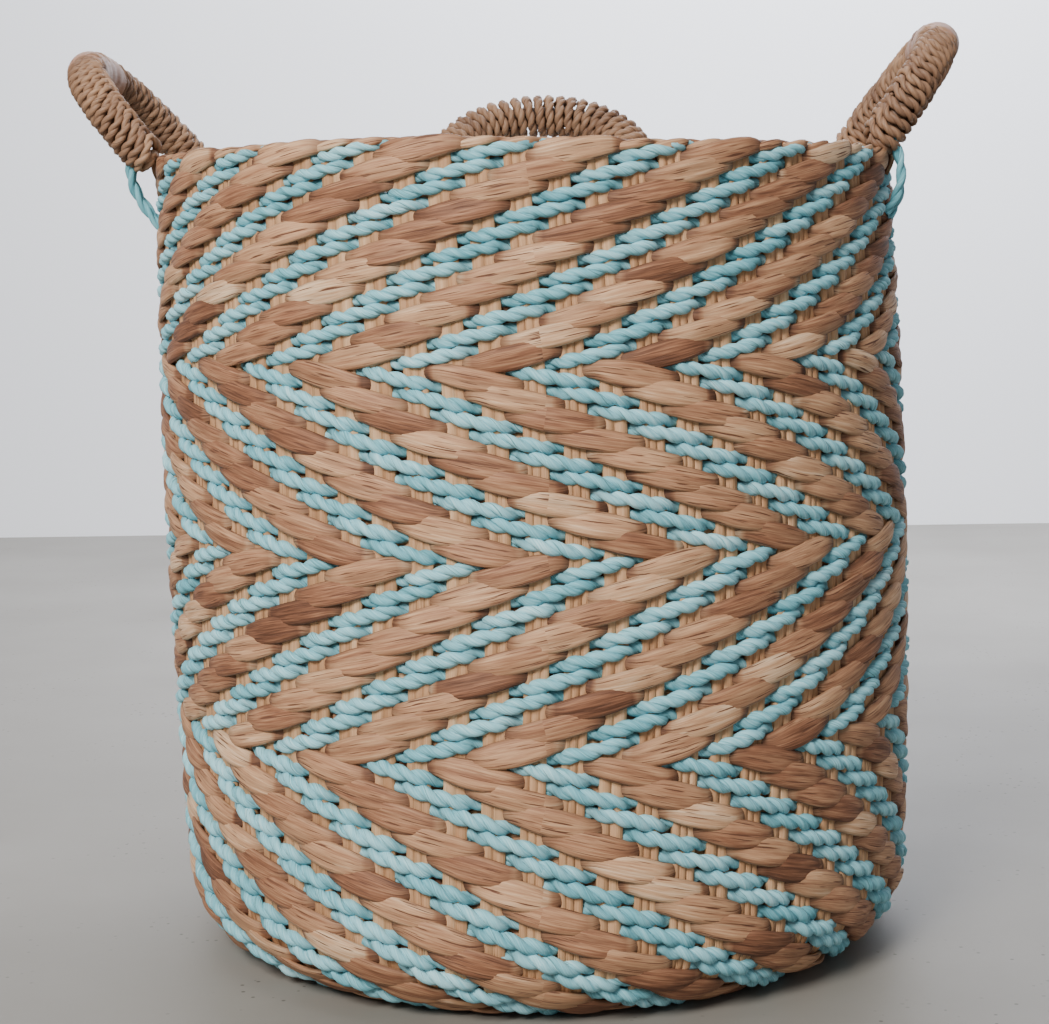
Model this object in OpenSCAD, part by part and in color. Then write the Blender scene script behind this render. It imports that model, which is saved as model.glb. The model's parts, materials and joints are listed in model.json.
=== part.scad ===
// Round twined laundry basket with three wrapped arch handles.
// Flat upright stakes run up the wall, and rows of weft are twined around them.
// The origin is the middle of the underside, and the basket stands on z = 0.

/* [Basket] */
// Outer diameter of the woven wall
body_d = 454; // [420:2:500]
// Height from the floor to the top of the rim
body_h = 470; // [440:2:520]
// Thickness of the woven wall and base
wall_t = 12; // [11.6:0.2:13]
// Outer radius of the rounded bottom edge
heel_r = 48; // [40:1:56]

/* [Weave] */
// Number of upright stakes
stake_count = 68; // [60:4:68]
// Width of one upright stake
stake_w = 12; // [8:0.5:12]
// Thickness of one upright stake
stake_t = 3; // [2:0.25:3]
// Height of the twined row next to the rim
top_pitch = 10.1; // [9.8:0.1:10.6]
// Height of the twined rows that turn under the heel
heel_pitch = 13.4; // [13:0.1:13.8]

/* [Handles] */
// Radius of the arch, to the middle of the core
arch_r = 67; // [60:1:72]
// Diameter of the cane core
core_d = 14; // [10:1:18]
// Outer diameter of the cord wrap
wrap_d = 26; // [24:1:28]
// Azimuth of the side handles, from the back of the basket
side_turn = 88; // [82:1:92]

/* [Hidden] */
$fn = 96;

body_r = body_d / 2;
floor_r = body_r - heel_r;       // where the rounded heel meets the flat base
straight_h = body_h - heel_r;
heel_arc = heel_r * PI / 2;
fit_gap = 0.2;                   // room around a stake in its slot
mid_depth = wall_t / 2;

// Weft rows, numbered from the rim down
wall_rows = 39;
band_first = [1, 13, 22, 31];    // the slant of the weave turns over at each band
band_last = [12, 21, 30, 42];
base_first = 43;
base_last = 51;
first_row = 12;                  // middle of row 1 below the rim
crest = 1.6;                     // how far a row bulges between its neighbours
rim_h = first_row - top_pitch / 2;
rim_edge = 1.5;                  // bevel on a rim strand

// Stakes
stake_end_r = 150;               // inner end of a stake under the base
strand_t = mid_depth - stake_t / 2 - fit_gap;
fold_in = strand_t / 2 + fit_gap;
fold_out = fold_in + stake_t;
fold_x = body_r - mid_depth - stake_t / 2 - fold_in;
fold_z = body_h - fold_out;
tail_h = 14;                     // stake end tucked down inside the rim

// Base
spoke_count = 34;
spoke_w = 8;
centre_r = 54;
spoke_in_r = 56;
spoke_out_r = stake_end_r - 2;

// Handles: azimuth from the back (all three sit a little clockwise of true),
// distance of the hinge line, its height, lean outward
handle_turn = [side_turn - 3, -side_turn - 3, -3];
handle_dist = [body_r - 4.5, body_r - 16, body_r - 12];
handle_z = [body_h + 12, body_h + 15, body_h + 13.6];
handle_lean = [41, 35, 55];
leg_h = 3;

// Blue cord lashings under each foot
lash_d = 5;
lash_pitch = 5.6;
lash_gap = 0.4;
lash_from = 50;                  // start angle below the foot
lash_drop = 36;                  // where the cord enters the wall, below the rim
lash_bow = 6;                    // how far the cord bows away from the wall
lash_bite = 1.5;

// Strap over the rim beside each foot
strap_w = 10;
strap_t = 3;
strap_gap = 0.3;
strap_offset = arch_r - wrap_d / 2 - strap_w / 2 - 1;
strap_leg = 24;
strap_half = (body_r - fold_x + fold_out) / 2 + strap_gap;
strap_mid = body_r + strap_gap - strap_half;
strap_bend_z = body_h - strand_t / 2;

// ---- Placing the rows along the outside of the basket ----

function row_pitch(i) =
    top_pitch + (heel_pitch - top_pitch) * min(i - 1, wall_rows - 1) / (wall_rows - 1);
function row_run(i) = i <= 1 ? first_row : row_run(i - 1) + row_pitch(i - 1);

// Turn of the outward direction below level, at a run from the rim: 0 wall, 90 base
function run_turn(s) =
    s <= straight_h ? 0
    : s >= straight_h + heel_arc ? 90
    : (s - straight_h) / heel_r * 180 / PI;

// Point at a run from the rim and a depth under the outer surface: [radius, height]
function run_point(s, depth) =
    s <= straight_h ? [body_r - depth, body_h - s]
    : s >= straight_h + heel_arc ? [floor_r - (s - straight_h - heel_arc), depth]
    : [floor_r + (heel_r - depth) * cos(run_turn(s)), heel_r - (heel_r - depth) * sin(run_turn(s))];

function row_top_z(i) = body_h - row_run(i) + row_pitch(i - 1) / 2;
function row_outer_radius(i) = run_point(row_run(i) - row_pitch(i) / 2, mid_depth)[0];

// Cross-section of one twined row: a lens as thick as the wall
module row_section(i) {
    half = row_pitch(i) / 2;
    arc_r = (half * half + crest * crest) / (2 * crest);
    place = run_point(row_run(i), mid_depth);
    translate(place) rotate(-run_turn(row_run(i))) intersection() {
        translate([mid_depth - arc_r, 0]) circle(r = arc_r);
        translate([arc_r - mid_depth, 0]) circle(r = arc_r);
    }
}

// Cross-section of the rows from first to last
module rows_section(first, last) {
    for (i = [first : last]) row_section(i);
}

// A flat strip that follows the wall, the heel and the base, and folds over the inner rim
module stake_profile(extra) {
    from = mid_depth - stake_t / 2 - extra;
    to = mid_depth + stake_t / 2 + extra;
    translate([body_r - to, heel_r]) square([to - from, fold_z - heel_r]);
    translate([floor_r, heel_r]) intersection() {
        difference() {
            circle(r = heel_r - from);
            circle(r = heel_r - to);
        }
        translate([0, -heel_r]) square(heel_r);
    }
    translate([stake_end_r - extra, from]) square([floor_r - stake_end_r + extra, to - from]);
}

module stake_fold_profile() {
    translate([fold_x, fold_z]) intersection() {
        difference() {
            circle(r = fold_out);
            circle(r = fold_in);
        }
        translate([-fold_out, 0]) square([2 * fold_out, fold_out]);
    }
    translate([fold_x - fold_out, fold_z - tail_h]) square([stake_t, tail_h]);
}

// Stands a radius-height outline upright and gives it a width across
module upright(width) {
    rotate([90, 0, 0]) translate([0, 0, -width / 2]) linear_extrude(width) children();
}

module around(count) {
    for (k = [0 : count - 1]) rotate([0, 0, 360 * k / count]) children();
}

module stake_slots() {
    around(stake_count) upright(stake_w + 2 * fit_gap) stake_profile(fit_gap);
}

// ---- Basket ----

module weave_band(k) {
    first = band_first[k];
    last = band_last[k];
    high = k == 0 ? body_h - rim_h : row_top_z(first);
    low = row_top_z(last + 1);
    difference() {
        rotate_extrude() intersection() {
            rows_section(first, last);
            translate([0, low]) square([body_r, high - low]);
        }
        stake_slots();
    }
}

// The last band turns under the heel and ends where the base begins
module heel_band() {
    edge = row_outer_radius(base_first);
    difference() {
        rotate_extrude() intersection() {
            rows_section(band_first[3], band_last[3]);
            translate([edge, 0]) square([body_r - edge, row_top_z(band_first[3])]);
        }
        stake_slots();
    }
}

module weave_band_1() {
    color("tan") weave_band(0);
}

module weave_band_2() {
    color("tan") weave_band(1);
}

module weave_band_3() {
    color("tan") weave_band(2);
}

module weave_band_4() {
    color("tan") heel_band();
}

module stakes() {
    color("burlywood") around(stake_count) upright(stake_w) {
        stake_profile(0);
        stake_fold_profile();
    }
}

// Cross-section of a rim strand: flat below, with bevelled top edges
module rim_section(mid_r, top_z) {
    half = strand_t / 2;
    translate([mid_r, 0]) polygon([
        [-half, body_h - rim_h], [half, body_h - rim_h], [half, top_z - rim_edge],
        [half - rim_edge, top_z], [rim_edge - half, top_z], [-half, top_z - rim_edge]]);
}

module rim_outer_strand() {
    color("peru") rotate_extrude() rim_section(body_r - strand_t / 2, body_h);
}

module rim_inner_strand() {
    color("peru") rotate_extrude() rim_section(fold_x, fold_z + strand_t / 2);
}

module base_weave() {
    edge = row_outer_radius(base_first);
    color("tan") difference() {
        rotate_extrude() {
            intersection() {
                rows_section(base_first, base_last + 1);
                translate([centre_r + fit_gap, 0]) square([edge - centre_r - fit_gap, wall_t]);
            }
            translate([stake_end_r, 0]) square([edge - stake_end_r, mid_depth - stake_t]);
        }
        stake_slots();
        around(spoke_count) spoke(fit_gap);
    }
}

module spoke(extra) {
    translate([spoke_in_r - extra, -spoke_w / 2 - extra, mid_depth - stake_t / 2 - extra])
        cube([spoke_out_r - spoke_in_r + 2 * extra, spoke_w + 2 * extra, stake_t + 2 * extra]);
}

module base_spokes() {
    color("burlywood") around(spoke_count) spoke(0);
}

module base_centre() {
    color("peru") cylinder(r = centre_r, h = wall_t);
}

// ---- Handles ----

// Puts a handle's own frame on its hinge line: x along the line, y outward, z up
module on_rim(h) {
    rotate([0, 0, handle_turn[h]]) translate([0, handle_dist[h], handle_z[h]]) children();
}

// A half-ring on two short legs, standing on the hinge line
module arch(d) {
    translate([0, 0, leg_h]) rotate([90, 0, 0])
        rotate_extrude(angle = 180) translate([arch_r, 0]) circle(d = d);
    for (side = [-1, 1]) translate([side * arch_r, 0, 0]) cylinder(d = d, h = leg_h);
}

module handle_core(h) {
    color("saddlebrown") on_rim(h) rotate([-handle_lean[h], 0, 0]) arch(core_d);
}

// The cord wrap covers the core, and its rounded feet turn on the hinge line
module handle_wrap(h) {
    color("rosybrown") on_rim(h) rotate([-handle_lean[h], 0, 0]) difference() {
        union() {
            arch(wrap_d);
            for (side = [-1, 1]) translate([side * arch_r, 0, 0]) sphere(d = wrap_d);
        }
        arch(core_d);
    }
}

// One cord from under a foot down into the wall, bowed outward
module lashing(h) {
    reach = wrap_d / 2 + lash_gap + lash_d / 2;
    wall_y = sqrt(body_r * body_r - arch_r * arch_r) - handle_dist[h];
    start = [reach * cos(lash_from), -reach * sin(lash_from)];
    end = [wall_y - lash_bite, body_h - lash_drop - handle_z[h]];
    chord = end - start;
    chord_l = norm(chord);
    bow_r = (chord_l * chord_l / 4 + lash_bow * lash_bow) / (2 * lash_bow);
    out = [-chord[1], chord[0]] / chord_l;
    centre = (start + end) / 2 - out * (bow_r - lash_bow);
    half_turn = asin(chord_l / 2 / bow_r);
    tilt = atan2(out[1], out[0]);
    translate([0, centre[0], centre[1]]) rotate([90, 0, 90]) rotate([0, 0, tilt - half_turn])
        rotate_extrude(angle = 2 * half_turn) translate([bow_r, 0]) circle(d = lash_d, $fn = 48);
}

module handle_lashings(h) {
    color("lightblue") on_rim(h)
        for (side = [-1, 1], strand = [-0.5, 0.5])
            translate([side * arch_r + strand * lash_pitch, 0, 0]) lashing(h);
}

// A natural strip bent over the rim beside each foot
module strap() {
    upright(strap_w) translate([strap_mid, strap_bend_z]) {
        intersection() {
            difference() {
                circle(r = strap_half + strap_t);
                circle(r = strap_half);
            }
            translate([-strap_half - strap_t, 0]) square([2 * (strap_half + strap_t), strap_half + strap_t]);
        }
        for (x = [-strap_half - strap_t, strap_half])
            translate([x, -strap_leg]) square([strap_t, strap_leg]);
    }
}

module handle_straps(h) {
    turn = asin(strap_offset / body_r);
    color("burlywood") for (side = [-1, 1])
        rotate([0, 0, 90 + handle_turn[h] + side * turn]) strap();
}

weave_band_1();
weave_band_2();
weave_band_3();
weave_band_4();
stakes();
rim_outer_strand();
rim_inner_strand();
base_weave();
base_spokes();
base_centre();
handle_core(0);  // handle_left_core
handle_wrap(0);  // handle_left_wrap
handle_lashings(0);  // handle_left_lashings
handle_straps(0);  // handle_left_straps
handle_core(1);  // handle_right_core
handle_wrap(1);  // handle_right_wrap
handle_lashings(1);  // handle_right_lashings
handle_straps(1);  // handle_right_straps
handle_core(2);  // handle_back_core
handle_wrap(2);  // handle_back_wrap
handle_lashings(2);  // handle_back_lashings
handle_straps(2);  // handle_back_straps
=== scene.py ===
import json
import math

import bpy
import numpy as np
from mathutils import Matrix, Vector


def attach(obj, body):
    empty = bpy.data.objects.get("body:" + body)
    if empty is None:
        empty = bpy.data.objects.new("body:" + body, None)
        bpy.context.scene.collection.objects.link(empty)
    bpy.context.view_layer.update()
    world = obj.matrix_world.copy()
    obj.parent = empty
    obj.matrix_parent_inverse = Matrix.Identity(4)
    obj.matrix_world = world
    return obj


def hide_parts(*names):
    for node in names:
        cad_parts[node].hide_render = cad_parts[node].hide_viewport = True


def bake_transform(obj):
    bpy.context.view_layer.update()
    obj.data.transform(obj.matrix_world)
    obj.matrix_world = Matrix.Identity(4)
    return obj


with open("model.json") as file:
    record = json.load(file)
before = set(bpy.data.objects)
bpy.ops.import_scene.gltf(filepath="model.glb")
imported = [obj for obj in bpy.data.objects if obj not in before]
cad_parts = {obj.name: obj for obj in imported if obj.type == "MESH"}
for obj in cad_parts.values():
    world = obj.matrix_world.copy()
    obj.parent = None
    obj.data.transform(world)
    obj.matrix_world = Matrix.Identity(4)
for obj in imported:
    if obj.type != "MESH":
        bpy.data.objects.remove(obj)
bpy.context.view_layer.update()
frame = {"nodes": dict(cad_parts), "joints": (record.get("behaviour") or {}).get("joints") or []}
joints = {joint["name"]: joint for joint in frame["joints"]}
bpy.ops.object.select_all(action="DESELECT")

# Lengths on the basket are in millimetres, and newPiece turns them into metres.
# The room, the lights and the camera are in metres.
millimetre = 0.001


def linear(hexText):
    channels = [int(hexText[i:i + 2], 16) / 255 for i in (0, 2, 4)]
    return [c / 12.92 if c <= 0.04045 else ((c + 0.055) / 1.055) ** 2.4 for c in channels] + [1.0]


def addNode(tree, kind, settings=None, inputs=None):
    node = tree.nodes.new(kind)
    for name, value in (settings or {}).items():
        setattr(node, name, value)
    for name, value in (inputs or {}).items():
        if isinstance(value, bpy.types.NodeSocket):
            tree.links.new(value, node.inputs[name])
        else:
            node.inputs[name].default_value = value
    return node


def newMaterial(name, roughness, specular):
    material = bpy.data.materials.new(name)
    material.use_nodes = True
    tree = material.node_tree
    shader = tree.nodes["Principled BSDF"]
    shader.inputs["Roughness"].default_value = roughness
    shader.inputs["Specular IOR Level"].default_value = specular
    return material, tree, shader


def setRamp(node, stops):
    ramp = node.color_ramp
    while len(ramp.elements) < len(stops):
        ramp.elements.new(0.5)
    for element, (place, hexText) in zip(ramp.elements, stops):
        element.position = place
        element.color = linear(hexText)


# Fibres that run along a strand, drawn on the strand's own UV map, which is in metres.
# length and width are the size of one fibre in millimetres.
def fibreNoise(tree, length, width, detail):
    place = addNode(tree, "ShaderNodeUVMap", {"uv_map": "strand"})
    scale = (1 / (length * millimetre), 1 / (width * millimetre), 1)
    mapped = addNode(tree, "ShaderNodeMapping", None, {"Vector": place.outputs[0], "Scale": scale})
    return addNode(
        tree, "ShaderNodeTexNoise", {"noise_dimensions": "2D"},
        {"Vector": mapped.outputs[0], "Scale": 1.0, "Detail": detail, "Roughness": 0.6})


# Plant fibre strand: its tone changes from float to float, streaks run along it,
# and painted shade darkens it where its shade attribute is low: where it is pinched between the stakes,
# along its edges and in its grooves and folds.
def fibreMaterial(look):
    material, tree, shader = newMaterial(look["name"], look["roughness"], look["specular"])
    tone = addNode(tree, "ShaderNodeAttribute", {"attribute_name": "tone"})
    shade = addNode(tree, "ShaderNodeAttribute", {"attribute_name": "shade"})
    fine = fibreNoise(tree, look["fibreLength"], look["fibreWidth"], 3)
    broad = fibreNoise(tree, look["streakLength"], look["streakWidth"], 2)
    fineShare = addNode(
        tree, "ShaderNodeMath", {"operation": "MULTIPLY_ADD"},
        {0: fine.outputs["Fac"], 1: look["fibreStrength"], 2: tone.outputs["Fac"]})
    both = addNode(
        tree, "ShaderNodeMath", {"operation": "MULTIPLY_ADD"},
        {0: broad.outputs["Fac"], 1: look["streakStrength"], 2: fineShare.outputs[0]})
    middle = -0.5 * (look["fibreStrength"] + look["streakStrength"])
    place = addNode(tree, "ShaderNodeMath", {"operation": "ADD"}, {0: both.outputs[0], 1: middle})
    ramp = addNode(tree, "ShaderNodeValToRGB", None, {"Fac": place.outputs[0]})
    setRamp(ramp, look["colours"])
    crack = fibreNoise(tree, look["crackLength"], look["crackWidth"], 1)
    crackEdge = 0.06
    crackLine = addNode(
        tree, "ShaderNodeMapRange", None,
        {
            "Value": crack.outputs["Fac"],
            "From Min": look["crackShare"],
            "From Max": look["crackShare"] - crackEdge,
        })
    cracked = addNode(
        tree, "ShaderNodeMix", {"data_type": "RGBA"},
        {"Factor": crackLine.outputs[0], "A": ramp.outputs[0], "B": linear(look["crackColour"])})
    paintedShade = addNode(
        # painted shade: the lower the shade attribute, the more the colour is mixed towards the painted
        # shade colour
        tree, "ShaderNodeMapRange", None,
        {"Value": shade.outputs["Fac"], "To Min": look["pinchShade"], "To Max": 0.0})
    pinched = addNode(
        tree, "ShaderNodeMix", {"data_type": "RGBA", "blend_type": "MIX"},
        {"Factor": paintedShade.outputs[0], "A": cracked.outputs["Result"], "B": linear(look["paintedShadeColour"])})
    tree.links.new(pinched.outputs["Result"], shader.inputs["Base Color"])
    height = addNode(
        tree, "ShaderNodeMath", {"operation": "SUBTRACT"},
        {0: fine.outputs["Fac"], 1: crackLine.outputs[0]})
    bump = addNode(
        tree, "ShaderNodeBump", None,
        {"Height": height.outputs[0], "Strength": look["bump"], "Distance": look["bumpDepth"] * millimetre})
    tree.links.new(bump.outputs[0], shader.inputs["Normal"])
    return material


# Dried water hyacinth, pressed flat and folded: satin fibres, tan to pinkish brown,
# cracked along its length
hyacinth = fibreMaterial({
    "name": "driedWaterHyacinthStrip", "roughness": 0.62, "specular": 0.35,
    "fibreLength": 22, "fibreWidth": 0.8, "fibreStrength": 0.75,
    "streakLength": 50, "streakWidth": 3.0, "streakStrength": 0.65,
    "crackLength": 28, "crackWidth": 1.1, "crackShare": 0.34, "crackColour": "6b4635",
    "paintedShadeColour": "4a2f22", "pinchShade": 0.75, "bump": 0.55, "bumpDepth": 0.5,
    "colours": [(0.0, "5a3929"), (0.27, "8f6148"), (0.5, "b38565"), (0.74, "cfa37e"), (1.0, "ecccaa")],
})
# Twisted rush dyed pale blue: matt, with lighter fibres that follow each ply
blueRush = fibreMaterial({
    "name": "paleBlueDyedRushCord", "roughness": 0.7, "specular": 0.3,
    "fibreLength": 14, "fibreWidth": 0.8, "fibreStrength": 0.8,
    "streakLength": 40, "streakWidth": 2.5, "streakStrength": 0.5,
    "crackLength": 20, "crackWidth": 1.0, "crackShare": 0.3, "crackColour": "5d949d",
    "paintedShadeColour": "2f5a64", "pinchShade": 0.75, "bump": 0.5, "bumpDepth": 0.4,
    "colours": [(0.0, "4b8e9e"), (0.35, "78bbc9"), (0.65, "a0d7e3"), (1.0, "d2f1f7")],
})
# Split palm stake: pale, straight grained and dry
palmStake = fibreMaterial({
    "name": "splitPalmStake", "roughness": 0.66, "specular": 0.35,
    "fibreLength": 30, "fibreWidth": 0.8, "fibreStrength": 0.6,
    "streakLength": 70, "streakWidth": 2.0, "streakStrength": 0.4,
    "crackLength": 40, "crackWidth": 1.2, "crackShare": 0.28, "crackColour": "7d5a3c",
    "paintedShadeColour": "5a3c28", "pinchShade": 0.6, "bump": 0.4, "bumpDepth": 0.3,
    "colours": [(0.0, "94694a"), (0.4, "b78b66"), (0.7, "cca27c"), (1.0, "dfbc98")],
})
# Two-ply hyacinth cord, darkened and polished by hands
handledCord = fibreMaterial({
    "name": "handledHyacinthCord", "roughness": 0.55, "specular": 0.4,
    "fibreLength": 12, "fibreWidth": 0.9, "fibreStrength": 0.6,
    "streakLength": 30, "streakWidth": 2.5, "streakStrength": 0.4,
    "crackLength": 18, "crackWidth": 1.1, "crackShare": 0.3, "crackColour": "5c4033",
    "paintedShadeColour": "3a261c", "pinchShade": 0.75, "bump": 0.5, "bumpDepth": 0.4,
    "colours": [(0.0, "6e5040"), (0.35, "927058"), (0.65, "b08a6c"), (1.0, "cba583")],
})
# The same cord, rubbed smooth and pinkish where hands hold it
wornGrip = fibreMaterial({
    "name": "wornHyacinthGrip", "roughness": 0.5, "specular": 0.45,
    "fibreLength": 14, "fibreWidth": 1.2, "fibreStrength": 0.4,
    "streakLength": 20, "streakWidth": 6, "streakStrength": 0.5,
    "crackLength": 12, "crackWidth": 3, "crackShare": 0.3, "crackColour": "84604c",
    "paintedShadeColour": "3a261c", "pinchShade": 0.75, "bump": 0.3, "bumpDepth": 0.3,
    "colours": [(0.0, "8a6652"), (0.4, "a57a63"), (0.7, "b98c73"), (1.0, "c9a38b")],
})


# Peeled cane, aged brown: smooth, with a fine even grain and a low sheen. It stiffens each handle.
def makeCane():
    material, tree, shader = newMaterial("peeledCane", 0.5, 0.4)
    place = addNode(tree, "ShaderNodeTexCoord")
    grain = addNode(
        tree, "ShaderNodeTexNoise", None,
        {"Vector": place.outputs["Object"], "Scale": 1 / (2 * millimetre), "Detail": 3.0})
    ramp = addNode(tree, "ShaderNodeValToRGB", None, {"Fac": grain.outputs["Fac"]})
    setRamp(ramp, [(0.3, "50382a"), (0.7, "765842")])
    tree.links.new(ramp.outputs[0], shader.inputs["Base Color"])
    return material


cane = makeCane()
print("materials made")


def unit(vectors):
    return vectors / np.maximum(np.linalg.norm(vectors, axis=-1, keepdims=True), 1e-9)


# Joins rings of points into a tube. rings is (count, around, 3), and tone and shade are
# one value for each ring or for each point.
def tube(rings, closed, tone, shade, startLength=0.0):
    count, around, _ = rings.shape
    steps = count if closed else count - 1
    first = np.arange(steps)
    second = (first + 1) % count
    side = np.arange(around)
    nextSide = (side + 1) % around
    quads = np.stack([
        (first[:, None] * around + side), (second[:, None] * around + side),
        (second[:, None] * around + nextSide), (first[:, None] * around + nextSide)], axis=-1)
    centre = rings.mean(axis=1)
    stepLength = np.linalg.norm(np.roll(centre, -1, axis=0) - centre, axis=1)
    along = startLength + np.concatenate([[0.0], np.cumsum(stepLength)])
    girth = np.linalg.norm(np.roll(rings, -1, axis=1) - rings, axis=2).mean(axis=0)
    across = np.concatenate([[0.0], np.cumsum(girth)])
    a0, a1 = along[:steps, None] + 0 * side, along[1:steps + 1, None] + 0 * side
    c0, c1 = across[:around] + 0 * a0, across[1:around + 1] + 0 * a0
    uv = np.stack([
        np.stack([a0, c0], -1), np.stack([a1, c0], -1),
        np.stack([a1, c1], -1), np.stack([a0, c1], -1)], axis=2)
    spread = np.ones((count, around))
    part = {
        "points": rings.reshape(-1, 3),
        "quads": quads.reshape(-1, 4),
        "uv": uv.reshape(-1, 4, 2),
        "tone": (spread * np.reshape(tone, (count, -1))).reshape(-1),
        "shade": (spread * np.reshape(shade, (count, -1))).reshape(-1),
        "caps": [] if closed else [side[::-1], (count - 1) * around + side],
    }
    # the faces point outwards when the volume inside them comes out positive
    corners = part["points"][part["quads"]]
    volume = np.einsum("ij,ij->i", corners[:, 0], np.cross(corners[:, 1], corners[:, 2])).sum()
    volume += np.einsum("ij,ij->i", corners[:, 0], np.cross(corners[:, 2], corners[:, 3])).sum()
    if volume < 0:
        part["quads"] = part["quads"][:, ::-1]
        part["uv"] = part["uv"][:, ::-1]
        part["caps"] = [cap[::-1] for cap in part["caps"]]
    return part


# One object made of many parts, with its strand UV map and its tone and shade attributes
def newPiece(name, parts, material):
    starts = np.cumsum([0] + [len(part["points"]) for part in parts])
    points = np.concatenate([part["points"] for part in parts]) * millimetre
    quads = np.concatenate([part["quads"] + start for part, start in zip(parts, starts)])
    caps = [cap + start for part, start in zip(parts, starts) for cap in part["caps"]]
    corners = np.concatenate([quads.reshape(-1)] + caps)
    sizes = np.array([4] * len(quads) + [len(cap) for cap in caps])
    loopUv = np.concatenate([part["uv"].reshape(-1, 2) for part in parts]) * millimetre
    capUv = points[corners[len(loopUv):]][:, :2]
    mesh = bpy.data.meshes.new(name)
    mesh.vertices.add(len(points))
    mesh.vertices.foreach_set("co", points.reshape(-1).astype(np.float32))
    mesh.loops.add(len(corners))
    mesh.loops.foreach_set("vertex_index", corners.astype(np.int32))
    mesh.polygons.add(len(sizes))
    mesh.polygons.foreach_set("loop_start", (np.cumsum(sizes) - sizes).astype(np.int32))
    mesh.polygons.foreach_set("use_smooth", np.ones(len(sizes), dtype=bool))
    uvLayer = mesh.uv_layers.new(name="strand")
    uvLayer.data.foreach_set("uv", np.concatenate([loopUv, capUv]).reshape(-1).astype(np.float32))
    for kind in ("tone", "shade"):
        values = np.concatenate([part[kind] for part in parts]).astype(np.float32)
        mesh.attributes.new(kind, "FLOAT", "POINT").data.foreach_set("value", values)
    mesh.update(calc_edges=True)
    mesh.validate()
    mesh.materials.append(material)
    piece = bpy.data.objects.new(name, mesh)
    bpy.context.scene.collection.objects.link(piece)
    print(name, "has", 2 * len(quads) + sum(len(cap) - 2 for cap in caps), "triangles")
    return piece


# Tangent, outward and sideways directions along a path, from the outward directions wished for
def frames(path, outward, closed):
    if closed:
        along = unit(np.roll(path, -1, axis=0) - np.roll(path, 1, axis=0))
    else:
        along = unit(np.gradient(path, axis=0))
    normal = unit(outward - (outward * along).sum(axis=1, keepdims=True) * along)
    return along, normal, np.cross(along, normal)


# Rings whose points stand at (sideways, outward) offsets from the path
def ringsAlong(path, normal, sideways, offsets):
    return path[:, None] + offsets[..., :1] * sideways[:, None] + offsets[..., 1:] * normal[:, None]


# A cord of two plies laid round each other. size is its thickness, ply the share of it that
# one ply takes, and lay the length of one full twist. A closed cord has a whole number of twists.
def twoPly(path, outward, closed, cord, tone, shade, startTwist=0.0):
    _, normal, sideways = frames(path, outward, closed)
    steps = np.linalg.norm(np.roll(path, -1, axis=0) - path, axis=1)
    length = np.concatenate([[0.0], np.cumsum(steps)[:-1]])
    turns = length / cord["lay"]
    if closed:
        turns = length / steps.sum() * max(1, round(steps.sum() / cord["lay"]))
    ring = 2 * math.pi * np.arange(cord["sides"]) / cord["sides"]
    parts = []
    for ply in (0, 1):
        angle = cord["hand"] * 2 * math.pi * turns + math.pi * ply + startTwist
        out = np.cos(angle)[:, None] * normal * cord["flat"] + np.sin(angle)[:, None] * sideways
        centre = path + cord["size"] * (1 - cord["ply"]) / 2 * out
        _, plyNormal, plySide = frames(centre, out, closed)
        size = cord["size"] * cord["ply"] / 2
        # hand-spun plies swell and thin a little along their length
        wave = 1 + 0.07 * np.sin(length / 9 + 2 * ply) + 0.05 * np.sin(length / 3.7 + ply)
        offsets = np.stack([np.cos(ring), np.sin(ring)], axis=-1)[None] * (size * wave)[:, None, None]
        rings = ringsAlong(centre, plyNormal, plySide, offsets)
        # painted shade makes the groove between the plies darker than their crowns
        groove = 0.62 + 0.38 * np.sin(ring)
        plyShade = np.clip(np.reshape(shade, (-1, 1)) * (0.35 + 0.65 * np.clip(groove * 1.5, 0, 1)), 0, 1)
        # the second ply starts far along the pattern, so that it differs from the first
        parts.append(tube(rings, closed, tone, plyShade, 400.0 * ply))
    return parts


# belly is how far the wall swells at mid height, and lean how far the foot stands to the right
body = {
    "height": 474.5, "radius": 224.5, "belly": 5.5, "heel": 48, "lean": 9, "leanHeight": 450,
    "oval": 1.3, "dents": 0.8, "stakes": 68, "middleDepth": 7.2, "firstStake": 0.75,
}
rows = {
    "first": 4.2, "topPitch": 10.1, "heelPitch": 13.4, "graded": 38,
    "wander": 1.3, "swing": 0.3, "swingLength": 320,
}
# The slant of the weave turns over at each band, and the base starts at the last of these rows
bandStarts = [1, 13, 22, 31, 43]
straightRun = body["height"] - body["heel"]
heelRun = body["heel"] * math.pi / 2


def rowPitch(row):
    graded = min(max(row - 1, 0), rows["graded"]) / rows["graded"]
    return rows["topPitch"] + (rows["heelPitch"] - rows["topPitch"]) * graded


def rowRun(row):
    return rows["first"] + sum(rowPitch(i) for i in range(1, row))


# Length from the rim, over the heel, to a radius under the base
def baseRun(radius):
    return straightRun + heelRun + body["radius"] - body["heel"] - radius


# Angle of the outward direction below level: 0 on the wall, a quarter turn under the base
def turnBelow(run):
    return np.clip((run - straightRun) / body["heel"], 0, math.pi / 2)


# Stakes are numbered round the basket from the front. They drift a little to one side and back.
def azimuth(run, stake, perTurn):
    drift = rows["swing"] * np.sin(math.pi * run / rows["swingLength"])
    return 2 * math.pi * (stake / perTurn + drift / body["stakes"])


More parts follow.
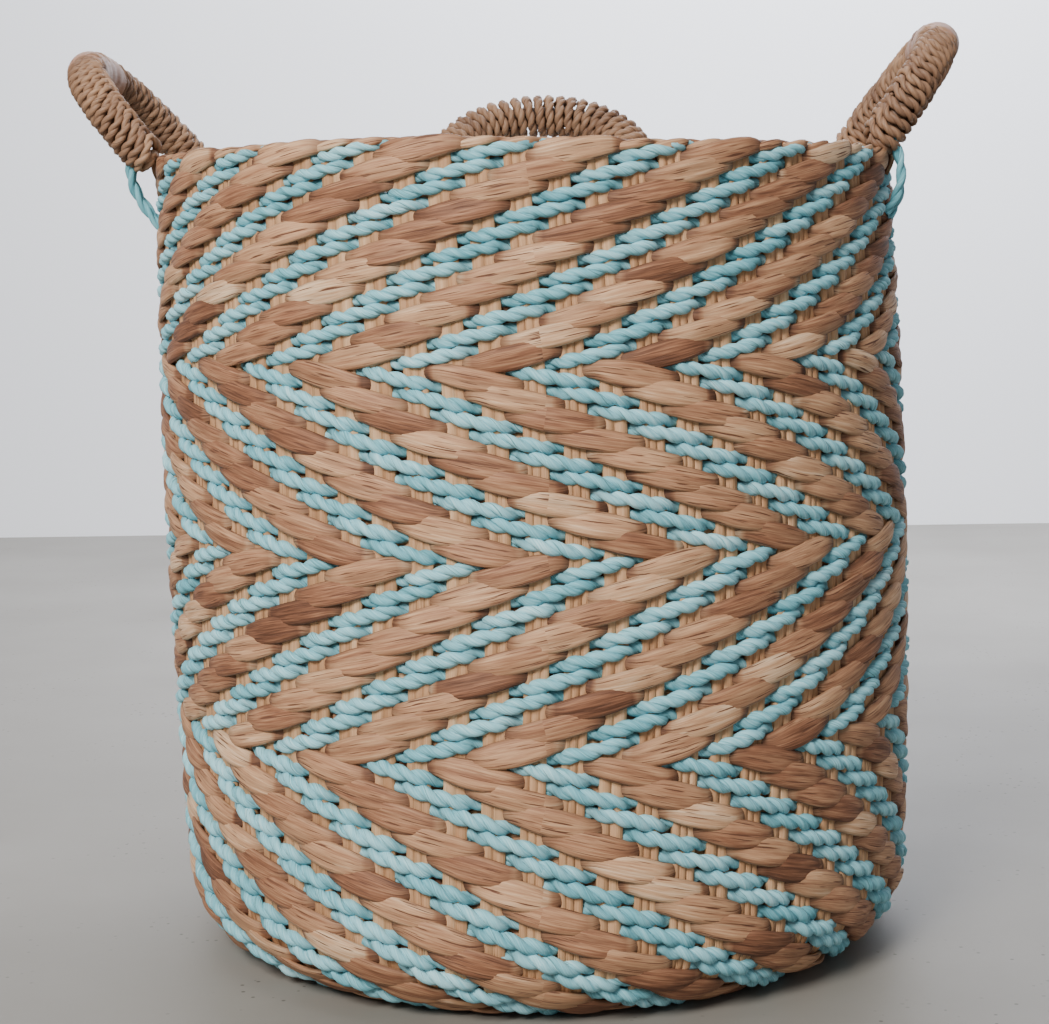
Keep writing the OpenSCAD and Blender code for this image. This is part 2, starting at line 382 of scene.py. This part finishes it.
# A point at a run down from the rim and a depth under the outer surface
def wallPoint(run, depth, stake, perTurn=body["stakes"]):
    turn = turnBelow(run)
    angle = azimuth(run, stake, perTurn)
    onWall = np.cos(turn)
    # rows wander a little up and down
    wave = np.sin(2 * angle + 0.6 + run / 90) + 0.6 * np.sin(5 * angle + run / 60)
    run = run + rows["wander"] * onWall * wave
    turn = turnBelow(run)
    reach = body["heel"] - depth
    under = np.maximum(run - straightRun - heelRun, 0)
    z = body["height"] - np.minimum(run, straightRun) - reach * np.sin(turn)
    radius = body["radius"] - body["heel"] - under + reach * np.cos(turn)
    radius = radius + body["belly"] * np.sin(np.clip(z / body["height"], 0, 1) * math.pi)
    # the wall is not quite round
    oval = body["oval"] * np.sin(2 * angle + 1.1)
    dents = body["dents"] * np.sin(3 * angle + 2.0 + z / 120)
    radius = radius + np.cos(turn) * (oval + dents)
    shift = body["lean"] * (1 - np.clip(z / body["leanHeight"], 0, 1))
    return np.stack([radius * np.sin(angle) + shift, -radius * np.cos(angle), z], axis=-1)


def wallNormal(run, stake, perTurn=body["stakes"]):
    turn = turnBelow(run)
    angle = azimuth(run, stake, perTurn)
    return np.stack([np.sin(angle) * np.cos(turn), -np.cos(angle) * np.cos(turn), -np.sin(turn)], axis=-1)


weft = {
    "start": -1.75, "rise": 0.32, "straight": 0.96, "square": 0.5,
    "blueReach": 3.6, "blueShare": -0.22, "naturalReach": 5.0, "naturalShare": 0.38,
}
ribbon = {
    "sides": 14, "samples": 7, "width": 1.2, "thickness": 4.8, "pinch": 0.46, "widening": 0.6,
    "uneven": 0.1, "flatten": 0.12, "roll": 12, "crease": 0.9,
}
blueCord = {
    "sides": 7, "samples": 8, "sizeShare": 0.74, "ply": 0.63, "flat": 0.9, "lay": 23, "hand": 1,
}


def bandOf(row):
    return sum(row >= first for first in bandStarts[1:4])


# Number of stakes by which the floats of a row are shifted from those of the first row
def rowShift(row):
    shift = 0
    for i in range(2, row + 1):
        shift += 1 if bandOf(i) % 2 == 1 else -1
    return shift


# 1 where floats climb to the right and -1 to the left. The last row of a band climbs like the next band.
def rowClimb(row):
    return -1 if bandOf(row + 1) % 2 == 1 else 1


# Path of one weft strand, over half a period of stakes and under the rest, sliding up or down as it goes.
# A share above nought makes the floats longer than the stretches behind the stakes.
def strandPath(start, samples, reach, perTurn, climb, pitch, run, period, share=0.0):
    stake = np.arange(perTurn * samples) / samples
    phase = (stake - start - period / 4) * 2 * math.pi / period
    outside = np.cos(phase) + share
    outside = outside / np.where(outside > 0, 1 + share, 1 - share)
    eased = np.sign(outside) * np.abs(outside) ** weft["square"]
    # the climb is nearly straight along each float
    along = np.arcsin(weft["straight"] * np.sin(phase)) / math.asin(weft["straight"])
    strandRun = run - climb * weft["rise"] * pitch * along
    path = wallPoint(strandRun, body["middleDepth"] - reach * eased, stake, perTurn)
    outward = wallNormal(strandRun, stake, perTurn)
    floats = np.floor((stake - start) * 2 / period).astype(int) % (2 * perTurn // period)
    return path, outward, np.abs(outside), outside > 0, floats


# A flat strip that is wide on each float and pinched where it passes between stakes
def ribbonPart(path, outward, spread, onOutside, floats, width, dice, thickness=ribbon["thickness"]):
    count = floats.max() + 1
    spread = spread[:, None]
    widthNow = width * (1 + ribbon["uneven"] * dice.uniform(-1, 1, count)[floats][:, None] * spread)
    widthNow = widthNow * (ribbon["pinch"] + (1 - ribbon["pinch"]) * spread ** ribbon["widening"])
    uneven = dice.uniform(-1, 1, count)[floats][:, None] * spread
    thick = thickness * (1 - ribbon["flatten"] * spread) * (1 + ribbon["flatten"] * uneven)
    rollNow = np.radians(ribbon["roll"]) * dice.uniform(-1, 1, count)[floats][:, None] * spread
    around = 2 * math.pi * np.arange(ribbon["sides"]) / ribbon["sides"]
    # the section is an oval with slightly squared corners
    x = np.sign(np.cos(around)) * np.abs(np.cos(around)) ** 0.9 * widthNow / 2
    y = np.sign(np.sin(around)) * np.abs(np.sin(around)) ** 0.85 * thick / 2
    # a fold line sinks into the face that shows
    fold = dice.uniform(-0.55, 0.55, count)[floats][:, None] * spread
    depth = ribbon["crease"] * dice.uniform(0.2, 1.3, count)[floats][:, None] * spread
    facing = np.where(onOutside[:, None], 1.0, -1.0) * np.sin(around)
    sunk = depth * np.exp(-((2 * x / widthNow - fold) / 0.22) ** 2) * np.clip(facing, 0, 1)
    y = y - np.where(onOutside[:, None], 1.0, -1.0) * sunk
    sideways = x * np.cos(rollNow) - y * np.sin(rollNow)
    outwards = x * np.sin(rollNow) + y * np.cos(rollNow)
    _, normal, side = frames(path, outward, True)
    rings = ringsAlong(path, normal, side, np.stack([sideways, outwards], axis=-1))
    strandTone = dice.uniform(-0.08, 0.08)
    tone = 0.5 + strandTone + dice.normal(0, 0.18, count)[floats]
    # painted shade: the edges, the ends of each float where it is pinched between the stakes, and the fold
    # are darker
    edge = 1 - 0.6 * np.abs(np.cos(around)) ** 5
    shade = np.clip(1.45 * spread ** 0.6 - 0.15, 0, 1) * edge - 0.5 * sunk / ribbon["crease"]
    return tube(rings, True, np.clip(tone, 0.05, 0.95), np.clip(shade, 0, 1), dice.uniform(0, 5000))


def makeBand(band):
    naturals = []
    blues = []
    for row in range(bandStarts[band], bandStarts[band + 1]):
        dice = np.random.default_rng(100 + row)
        pitch = rowPitch(row)
        run = rowRun(row)
        start = weft["start"] + rowShift(row)
        path, outward, spread, onOutside, floats = strandPath(
            start + 2, ribbon["samples"], weft["naturalReach"], body["stakes"], rowClimb(row),
            pitch, run, 4, weft["naturalShare"])
        naturals.append(ribbonPart(path, outward, spread, onOutside, floats, ribbon["width"] * pitch, dice))
        path, outward, spread, onOutside, floats = strandPath(
            start, blueCord["samples"], weft["blueReach"], body["stakes"], rowClimb(row),
            pitch, run, 4, weft["blueShare"])
        tone = 0.5 + dice.normal(0, 0.08, floats.max() + 1)[floats]
        # painted shade darkens the blue cord where it passes between the stakes
        shade = np.clip(0.25 + 1.1 * spread ** 0.7, 0, 1)
        cord = blueCord | {"size": blueCord["sizeShare"] * pitch}
        blues += twoPly(path, outward, True, cord, tone, shade, dice.uniform(0, 6))
    natural = newPiece(f"naturalWeft{band + 1}", naturals, hyacinth)
    blue = newPiece(f"blueWeft{band + 1}", blues, blueRush)
    for piece, slot in ((natural, "hyacinth_weft"), (blue, "blue_cord")):
        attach(piece, "basket")
        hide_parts(f"weave_band_{band + 1}")


for band in range(4):
    makeBand(band)
print("wall woven")


# pairShare is the share of stakes with two strips. The rest have three narrower ones.
stakeStrips = {
    "width": 6.7, "thickness": 5.0, "apart": 3.3, "step": 7.5, "endRadius": 150,
    "pairShare": 0.62, "threeApart": 1.3, "threeWidth": 0.68,
    "foldTop": 0.6, "foldReach": 8.0, "tail": 15,
}


# A stake starts inside the rim, folds over it, and runs down the wall to the base
def stakeLine(stake):
    fold = stakeStrips["foldReach"] / 2
    turns = np.linspace(0, math.pi, 7)
    depth = body["middleDepth"] + fold + fold * np.cos(turns)
    run = stakeStrips["foldTop"] + fold - fold * np.sin(turns)
    tailRun = np.linspace(stakeStrips["tail"], stakeStrips["foldTop"] + fold, 4)[:-1]
    tailDepth = np.full(3, body["middleDepth"] + 2 * fold)
    lastRun = baseRun(stakeStrips["endRadius"])
    count = int((lastRun - run[-1]) / stakeStrips["step"])
    downRun = np.linspace(run[-1], lastRun, count)[1:]
    runs = np.concatenate([tailRun, run, downRun])
    depths = np.concatenate([tailDepth, depth, np.full(count - 1, body["middleDepth"])])
    return wallPoint(runs, depths, stake)


# A flat strip with six sides. Its UV map starts at a place that depends on its tone.
def stripPart(path, sideways, width, thickness, tone, shade):
    along = unit(np.gradient(path, axis=0))
    across = unit(sideways - (sideways * along).sum(axis=1, keepdims=True) * along)
    normal = np.cross(across, along)
    # the two faces are a little crowned
    offsets = np.array([[-1, -0.82], [0, -1.0], [1, -0.82], [1, 0.82], [0, 1.0], [-1, 0.82]])
    offsets = offsets * [width / 2, thickness / 2]
    rings = ringsAlong(path, normal, across, offsets[None])
    return tube(rings, False, np.full(len(path), tone), np.full(len(path), shade), 13.0 * tone)


def makeStakes():
    dice = np.random.default_rng(7)
    wide = stakeStrips["threeApart"]
    parts = []
    for k in range(body["stakes"]):
        line = stakeLine(k + body["firstStake"])
        sideways = unit(stakeLine(k + body["firstStake"] + 0.1) - line)
        offsets = [-1, 1] if dice.uniform() < stakeStrips["pairShare"] else [-wide, 0, wide]
        narrow = 1 if len(offsets) == 2 else stakeStrips["threeWidth"]
        for offset in offsets:
            path = line + sideways * (offset * stakeStrips["apart"] + dice.uniform(-0.2, 0.2))
            tone = float(np.clip(0.55 + dice.normal(0, 0.13), 0.1, 0.95))
            width = stakeStrips["width"] * narrow * dice.uniform(0.94, 1.04)
            parts.append(stripPart(path, sideways, width, stakeStrips["thickness"], tone, 1.0))
    piece = newPiece("palmStakes", parts, palmStake)
    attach(piece, "basket")
    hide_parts("stakes")


makeStakes()
print("stakes set")


rim = {"run": 0.6, "pitch": 5.0, "reach": 3.6, "width": 5.4, "thickness": 3.8, "period": 2}


# Two natural strands twined round the stake ends close the top edge
def makeRim():
    strands = [("rimStrandOuter", "rim_outer_strand"), ("rimStrandInner", "rim_inner_strand")]
    for k, (name, node) in enumerate(strands):
        dice = np.random.default_rng(40 + k)
        path, outward, spread, onOutside, floats = strandPath(
            weft["start"] + 1 + k, ribbon["samples"], rim["reach"], body["stakes"], 1, rim["pitch"],
            rim["run"], rim["period"])
        part = ribbonPart(path, outward, spread, onOutside, floats, rim["width"], dice, rim["thickness"])
        piece = newPiece(name, [part], hyacinth)
        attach(piece, "basket")
        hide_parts(node)


makeRim()
print("rim closed")


base = {
    "centreRadius": 54, "spokes": 34, "spokeWidth": 4.2, "spokeApart": 2.2,
    "reach": 4.1, "thickness": 5.6,
    "matPitch": 15.5, "matStrip": 14.6, "matThick": 2.6, "matLift": 2.1, "matHeight": 7.6,
}


# Natural strands go on twining under the base, first round the stakes and then round the spokes
def makeBaseWeft():
    parts = []
    row = bandStarts[-1]
    run = rowRun(row)
    while run < baseRun(base["centreRadius"] + 2):
        dice = np.random.default_rng(100 + row)
        onStakes = run < baseRun(stakeStrips["endRadius"])
        perTurn = body["stakes"] if onStakes else base["spokes"]
        period = 4 if onStakes else 2
        start = weft["start"] + rowShift(row) if onStakes else row % 2
        for strand in (0, 1):
            path, outward, spread, onOutside, floats = strandPath(
                start + strand * period / 2, ribbon["samples"], base["reach"], perTurn, -1,
                rows["heelPitch"], run, period)
            width = ribbon["width"] * rows["heelPitch"]
            parts.append(ribbonPart(
                path, outward, spread, onOutside, floats, width, dice, base["thickness"]))
        row += 1
        run += rows["heelPitch"]
    piece = newPiece("baseWeft", parts, hyacinth)
    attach(piece, "basket")
    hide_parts("base_weave")


def makeSpokes():
    dice = np.random.default_rng(8)
    runs = np.linspace(baseRun(stakeStrips["endRadius"] + 8), baseRun(base["centreRadius"] - 6), 22)
    depths = np.full(len(runs), body["middleDepth"])
    parts = []
    for k in range(base["spokes"]):
        line = wallPoint(runs, depths, k + 0.5, base["spokes"])
        sideways = unit(wallPoint(runs, depths, k + 0.6, base["spokes"]) - line)
        for offset in (-1, 1):
            path = line + sideways * offset * base["spokeApart"]
            tone = float(np.clip(0.5 + dice.normal(0, 0.13), 0.1, 0.95))
            parts.append(stripPart(path, sideways, base["spokeWidth"], stakeStrips["thickness"], tone, 1.0))
    piece = newPiece("baseSpokes", parts, palmStake)
    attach(piece, "basket")
    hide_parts("base_spokes")


# The middle of the base is a round mat of flat strips, plaited over one and under one
def makeBaseCentre():
    dice = np.random.default_rng(9)
    reach = base["centreRadius"] + 3
    count = int(reach / base["matPitch"])
    middle = np.array([body["lean"], 0, base["matHeight"]])
    parts = []
    for way in (0, 1):
        along = np.array([1.0, 0, 0]) if way == 0 else np.array([0, 1.0, 0])
        across = np.array([0, 1.0, 0]) if way == 0 else np.array([1.0, 0, 0])
        for k in range(-count, count + 1):
            half = math.sqrt(reach ** 2 - (k * base["matPitch"]) ** 2)
            s = np.linspace(-half, half, max(9, int(half / 1.8)))
            lift = base["matLift"] * np.cos(math.pi * (s / base["matPitch"] + k + way))
            path = middle + s[:, None] * along + k * base["matPitch"] * across + lift[:, None] * [0, 0, 1]
            tone = float(np.clip(0.5 + dice.normal(0, 0.15), 0.1, 0.95))
            parts.append(stripPart(path, across + 0 * path, base["matStrip"], base["matThick"], tone, 1.0))
    piece = newPiece("baseCentre", parts, hyacinth)
    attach(piece, "basket")
    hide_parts("base_centre")


makeBaseWeft()
makeSpokes()
makeBaseCentre()
print("base closed")


# The wrap of a handle has a ridge of crossed cords along it, and chevron is how far they lean there
arch = {
    "radius": 67, "leg": 3, "foot": 8, "chevron": 6.5, "ridgeSpread": 0.6,
    "perTurn": 32, "endTurns": 1.4, "endReach": 4, "endSink": 0.72,
}
wrapCord = {"sides": 6, "ply": 0.64, "flat": 0.95, "lay": 17, "hand": 1}
grip = {
    "from": 58, "to": 122, "radius": 13.2, "sunk": 9.6, "ease": 0.3, "ripple": 0.25, "ripples": 40,
    "sides": 28, "rings": 60,
}
# wrap is the outer radius of the wrap and cord the thickness of its cord
handles = {
    "left": {
        "lean": 41, "seed": 61, "worn": True, "turns": 39,
        "cord": 6.0, "wrap": 12.7, "ridge": 70, "ridgeLift": 1.2,
    },
    "right": {
        "lean": 35, "seed": 62, "worn": True, "turns": 39,
        "cord": 6.0, "wrap": 12.7, "ridge": 78, "ridgeLift": 1.2,
    },
    "back": {
        "lean": 55, "seed": 63, "worn": False, "turns": 27,
        "cord": 7.2, "wrap": 16.2, "ridge": 12, "ridgeLift": 0.8,
    },
}


# Hinge point, direction along the rim, outward, lean of the arch and its upper face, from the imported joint
def handleFrame(side):
    joint = joints[side + "_tilt"]
    hinge = np.array(joint["pos_m"]) / millimetre
    line = np.array(joint["axis"])
    up = np.array([0, 0, 1.0])
    out = np.cross(up, line)
    out = out * np.sign(out @ hinge)
    lean = math.radians(handles[side]["lean"])
    lift = math.sin(lean) * out + math.cos(lean) * up
    face = -math.cos(lean) * out + math.sin(lean) * up
    return hinge, line, out, lift, face


# Points of the arch at angles from 0 at one foot to half a turn at the other, with straight legs past them,
# and the direction there that points away from the middle of the arch
def archLine(side, angle):
    hinge, line, _, lift, _ = handleFrame(side)
    bent = np.clip(angle, 0, math.pi)
    below = (angle - bent) * np.where(angle < 0, 1, -1) * arch["radius"]
    away = np.cos(bent)[:, None] * line + np.sin(bent)[:, None] * lift
    return hinge + arch["leg"] * lift + arch["radius"] * away + below[:, None] * lift, away


def makeWrap(side):
    handle = handles[side]
    dice = np.random.default_rng(handle["seed"])
    _, _, _, _, face = handleFrame(side)
    turns = handle["turns"]
    total = turns + 2 * arch["endTurns"]
    turn = np.linspace(-arch["endTurns"], turns + arch["endTurns"], int(total * arch["perTurn"]))
    first = -arch["foot"] / arch["radius"]
    ending = np.maximum(np.maximum(-turn, turn - turns), 0) / arch["endTurns"]
    wrapped = turn - np.floor(turn)
    fromRidge = 2 * math.pi * np.where(wrapped > 0.5, wrapped - 1, wrapped)
    atRidge = np.exp(-(fromRidge / arch["ridgeSpread"]) ** 2)
    angle = first + (math.pi - 2 * first) * np.clip(turn / turns, 0, 1)
    towardsApex = np.tanh((math.pi / 2 - angle) / 0.25)
    knots = np.arange(-2, turns + 3)
    uneven = 1 + 0.25 * np.interp(turn, knots, dice.uniform(-1, 1, len(knots)))
    shift = arch["chevron"] / arch["radius"] * atRidge * towardsApex * uneven
    angle = angle + shift * (1 - ending)
    angle = angle + np.where(turn < 0, -1, 1) * ending * arch["endReach"] / arch["radius"]
    centre, away = archLine(side, angle)
    spin = math.radians(handle["ridge"]) + 2 * math.pi * wrapped
    out = np.cos(spin)[:, None] * away + np.sin(spin)[:, None] * face
    radius = handle["wrap"] - handle["cord"] / 2 + handle["ridgeLift"] * atRidge * uneven * (1 - ending)
    # the last turns sink in and close the end
    radius = radius * (1 - arch["endSink"] * ending)
    path = centre + radius[:, None] * out
    tone = 0.45 + np.interp(turn, knots, dice.normal(0, 0.14, len(knots)))
    tone = np.clip(tone, 0.05, 0.95)
    cord = wrapCord | {"size": handle["cord"]}
    # painted shade darkens the cord away from its raised ridge, so the ridge stays lighter
    parts = twoPly(path, out, False, cord, tone, 0.75 + 0.25 * atRidge)
    piece = newPiece(f"handleWrap.{side}", parts, handledCord)
    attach(piece, f"handle_{side}")
    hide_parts(f"handle_{side}_wrap")


# Where hands hold it, the cord of a side handle is worn to a smooth grip
def makeGrip(side):
    _, _, _, _, face = handleFrame(side)
    angle = np.radians(np.linspace(grip["from"], grip["to"], grip["rings"]))
    centre, away = archLine(side, angle)
    share = np.linspace(0, 1, grip["rings"])
    rise = np.clip(np.minimum(share, 1 - share) / grip["ease"], 0, 1)
    rise = rise * rise * (3 - 2 * rise)
    radius = grip["sunk"] + (grip["radius"] - grip["sunk"]) * rise
    radius = radius + grip["ripple"] * np.sin(share * grip["ripples"])
    around = 2 * math.pi * np.arange(grip["sides"]) / grip["sides"]
    faceward = face + 0 * away
    offsets = np.stack([np.cos(around), np.sin(around)], axis=-1)[None] * radius[:, None, None]
    rings = ringsAlong(centre, away, faceward, offsets)
    tone = np.full(grip["rings"], 0.5)
    part = tube(rings, False, tone, np.full(grip["rings"], 1.0))
    piece = newPiece(f"handleGrip.{side}", [part], wornGrip)
    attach(piece, f"handle_{side}")


lashing = {
    "drop": 37, "stagger": 3, "apart": 5.2, "bite": 3.5, "leave": 3, "bow": 12, "fall": 14, "rise": 12,
    "held": 6, "samples": 30,
    "cord": {"sides": 7, "size": 6.2, "ply": 0.62, "flat": 1.0, "lay": 24, "hand": 1},
}
strap = {
    "width": 9, "thickness": 3.2, "leg": 13, "inboard": 18, "clear": 0.2, "slant": 9, "tuck": 5,
    "stakeSpacing": 20.8,
}


# Points along the curve that four control points give
def bezier(points, count):
    t = np.linspace(0, 1, count)[:, None]
    p0, p1, p2, p3 = points
    return (1 - t) ** 3 * p0 + 3 * t * (1 - t) ** 2 * p1 + 3 * t * t * (1 - t) * p2 + t ** 3 * p3


# Number of stakes round from the front at which a point lies
def stakeAt(point, run):
    angle = math.atan2(point[0], -point[1])
    drift = rows["swing"] * math.sin(math.pi * run / rows["swingLength"])
    return float((angle / (2 * math.pi)) * body["stakes"] - drift)


# Two blue cords come out under each foot, bow outwards and go into the wall
def makeLashings(side):
    hinge, line, out, _, _ = handleFrame(side)
    up = np.array([0, 0, 1.0])
    tone = np.full(lashing["samples"], 0.3)
    shade = np.full(lashing["samples"], 0.9)
    parts = []
    for foot in (-1, 1):
        for strand in (-0.5, 0.5):
            start = hinge + line * (foot * arch["radius"] + strand * lashing["apart"])
            stake = stakeAt(start, lashing["drop"])
            run = lashing["drop"] + lashing["stagger"] * strand
            wall = wallPoint(np.array([run]), np.array([lashing["bite"]]), stake)[0]
            points = [
                start + lashing["leave"] * out,
                start + lashing["bow"] * out - lashing["fall"] * up,
                wall + lashing["bow"] * out + lashing["rise"] * up,
                wall,
            ]
            path = bezier(points, lashing["samples"])
            parts += twoPly(path, out + 0 * path, False, lashing["cord"], tone, shade)
    piece = newPiece(f"handleLashings.{side}", parts, blueRush)
    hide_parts(f"handle_{side}_lashings")
    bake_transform(piece)


# A natural strip is bent over the rim beside each foot
def makeStraps(side):
    hinge, line, _, _, _ = handleFrame(side)
    dice = np.random.default_rng(handles[side]["seed"] + 10)
    parts = []
    for foot in (-1, 1):
        point = hinge + line * foot * (arch["radius"] - strap["inboard"])
        stake = stakeAt(point, 0)
        half = body["middleDepth"] + strap["clear"]
        turns = np.linspace(0, math.pi, 13)
        down = np.linspace(strap["leg"], 0, 6)[:-1]
        # the outer end is tucked into the weave
        outerDepth = body["middleDepth"] - half + strap["tuck"] * (down / strap["leg"]) ** 2
        bendDepth = body["middleDepth"] - half * np.cos(turns)
        innerDepth = np.full(5, body["middleDepth"] + half)
        depths = np.concatenate([outerDepth, bendDepth, innerDepth])
        runs = np.concatenate([down, -0.35 * half * np.sin(turns), down[::-1]])
        reachIn = np.linspace(0, 1, len(runs))
        stakes = stake + foot * strap["slant"] / strap["stakeSpacing"] * (0.5 - reachIn)
        path = wallPoint(runs, depths, stakes)
        tone = float(np.clip(0.5 + dice.normal(0, 0.1), 0, 1))
        parts.append(stripPart(path, line + 0 * path, strap["width"], strap["thickness"], tone, 1.0))
    piece = newPiece(f"handleStraps.{side}", parts, hyacinth)
    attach(piece, "basket")
    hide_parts(f"handle_{side}_straps")


for side in handles:
    makeWrap(side)
    if handles[side]["worn"]:
        makeGrip(side)
    makeLashings(side)
    makeStraps(side)
    core = frame["nodes"][f"handle_{side}_core"]
    core.data.materials.clear()
    core.data.materials.append(cane)
print("handles wrapped and lashed")


room = {
    "wallDistance": 2.11, "size": 9,
    "floorColour": "918e89", "floorDark": "84817b", "pitColour": "5e5b57", "wallColour": "eef0f5",
    "skyColour": "e6e8ec", "skyStrength": 0.34,
}
lights = {
    "key": {
        "place": (-1.0, -2.3, 1.9), "target": (0, 0, 0.25), "size": 1.1, "power": 118, "colour": "fffaf2"},
    "fill": {
        "place": (1.9, -1.9, 1.2), "target": (0, 0, 0.25), "size": 1.8, "power": 2, "colour": "f4f8ff"},
    "top": {
        "place": (-0.3, 0.2, 2.9), "target": (0, 0, 0.3), "size": 2.0, "power": 18, "colour": "ffffff"},
    "wallWash": {
        "place": (0.6, 1.0, 1.9), "target": (0.35, 2.1, 1.25), "size": 1.2, "power": 95,
        "colour": "f4f7ff"},
}
# Angles in degrees: pitch is the tilt down from level
view = {
    "place": (-0.00285, -1.320, 0.402), "pitch": 6.19, "roll": 0.8,
    "lens": 72.7, "sensorWidth": 36, "clipStart": 0.05,
}


# Power-floated concrete: pale grey, faintly mottled, with fine pits
def makeConcrete():
    material, tree, shader = newMaterial("powerFloatedConcrete", 0.55, 0.35)
    place = addNode(tree, "ShaderNodeTexCoord")
    cloud = addNode(
        tree, "ShaderNodeTexNoise", None,
        {"Vector": place.outputs["Object"], "Scale": 4.0, "Detail": 6.0})
    ramp = addNode(tree, "ShaderNodeValToRGB", None, {"Fac": cloud.outputs["Fac"]})
    setRamp(ramp, [(0.3, room["floorDark"]), (0.7, room["floorColour"])])
    pits = addNode(tree, "ShaderNodeTexVoronoi", None, {"Vector": place.outputs["Object"], "Scale": 110.0})
    pitEdge = addNode(
        tree, "ShaderNodeMapRange", None,
        {"Value": pits.outputs["Distance"], "From Min": 0.16, "From Max": 0.1})
    thinned = addNode(tree, "ShaderNodeTexNoise", None, {"Vector": place.outputs["Object"], "Scale": 9.0})
    pitShare = addNode(
        tree, "ShaderNodeMapRange", None,
        {"Value": thinned.outputs["Fac"], "From Min": 0.5, "From Max": 0.62})
    pitted = addNode(
        tree, "ShaderNodeMath", {"operation": "MULTIPLY"}, {0: pitEdge.outputs[0], 1: pitShare.outputs[0]})
    speckled = addNode(
        tree, "ShaderNodeMix", {"data_type": "RGBA"},
        {"Factor": pitted.outputs[0], "A": ramp.outputs[0], "B": linear(room["pitColour"])})
    tree.links.new(speckled.outputs["Result"], shader.inputs["Base Color"])
    return material


# Matt emulsion on plaster
def makePlaster():
    material, _, shader = newMaterial("mattPaintedPlaster", 0.9, 0.2)
    shader.inputs["Base Color"].default_value = linear(room["wallColour"])
    return material


def makeRoom():
    bpy.ops.mesh.primitive_plane_add(
        size=room["size"], location=(0, room["wallDistance"] - room["size"] / 2, 0))
    floor = bpy.context.object
    floor.name = "floor"
    floor.data.materials.append(makeConcrete())
    bpy.ops.mesh.primitive_plane_add(
        size=room["size"], location=(0, room["wallDistance"], room["size"] / 2),
        rotation=(math.pi / 2, 0, 0))
    wall = bpy.context.object
    wall.name = "wall"
    wall.data.materials.append(makePlaster())


def addLight(name):
    values = lights[name]
    data = bpy.data.lights.new(name, "AREA")
    data.shape = "DISK"
    data.size = values["size"]
    data.energy = values["power"]
    data.color = linear(values["colour"])[:3]
    light = bpy.data.objects.new(name, data)
    bpy.context.scene.collection.objects.link(light)
    light.location = values["place"]
    direction = Vector(values["place"]) - Vector(values["target"])
    light.rotation_mode = "QUATERNION"
    light.rotation_quaternion = direction.to_track_quat("Z", "Y")


def makeSky():
    world = bpy.data.worlds.new("softRoom")
    world.use_nodes = True
    background = world.node_tree.nodes["Background"]
    background.inputs["Color"].default_value = linear(room["skyColour"])
    background.inputs["Strength"].default_value = room["skyStrength"]
    bpy.context.scene.world = world


def makeCamera():
    data = bpy.data.cameras.new("camera")
    data.lens = view["lens"]
    data.sensor_width = view["sensorWidth"]
    data.clip_start = view["clipStart"]
    camera = bpy.data.objects.new("camera", data)
    bpy.context.scene.collection.objects.link(camera)
    tilt = Matrix.Rotation(math.radians(90 - view["pitch"]), 4, "X")
    roll = Matrix.Rotation(math.radians(-view["roll"]), 4, "Z")
    camera.matrix_world = Matrix.Translation(view["place"]) @ (tilt @ roll)
    bpy.context.scene.camera = camera


makeRoom()
for name in lights:
    addLight(name)
makeSky()
makeCamera()
print("stage, light and camera set")
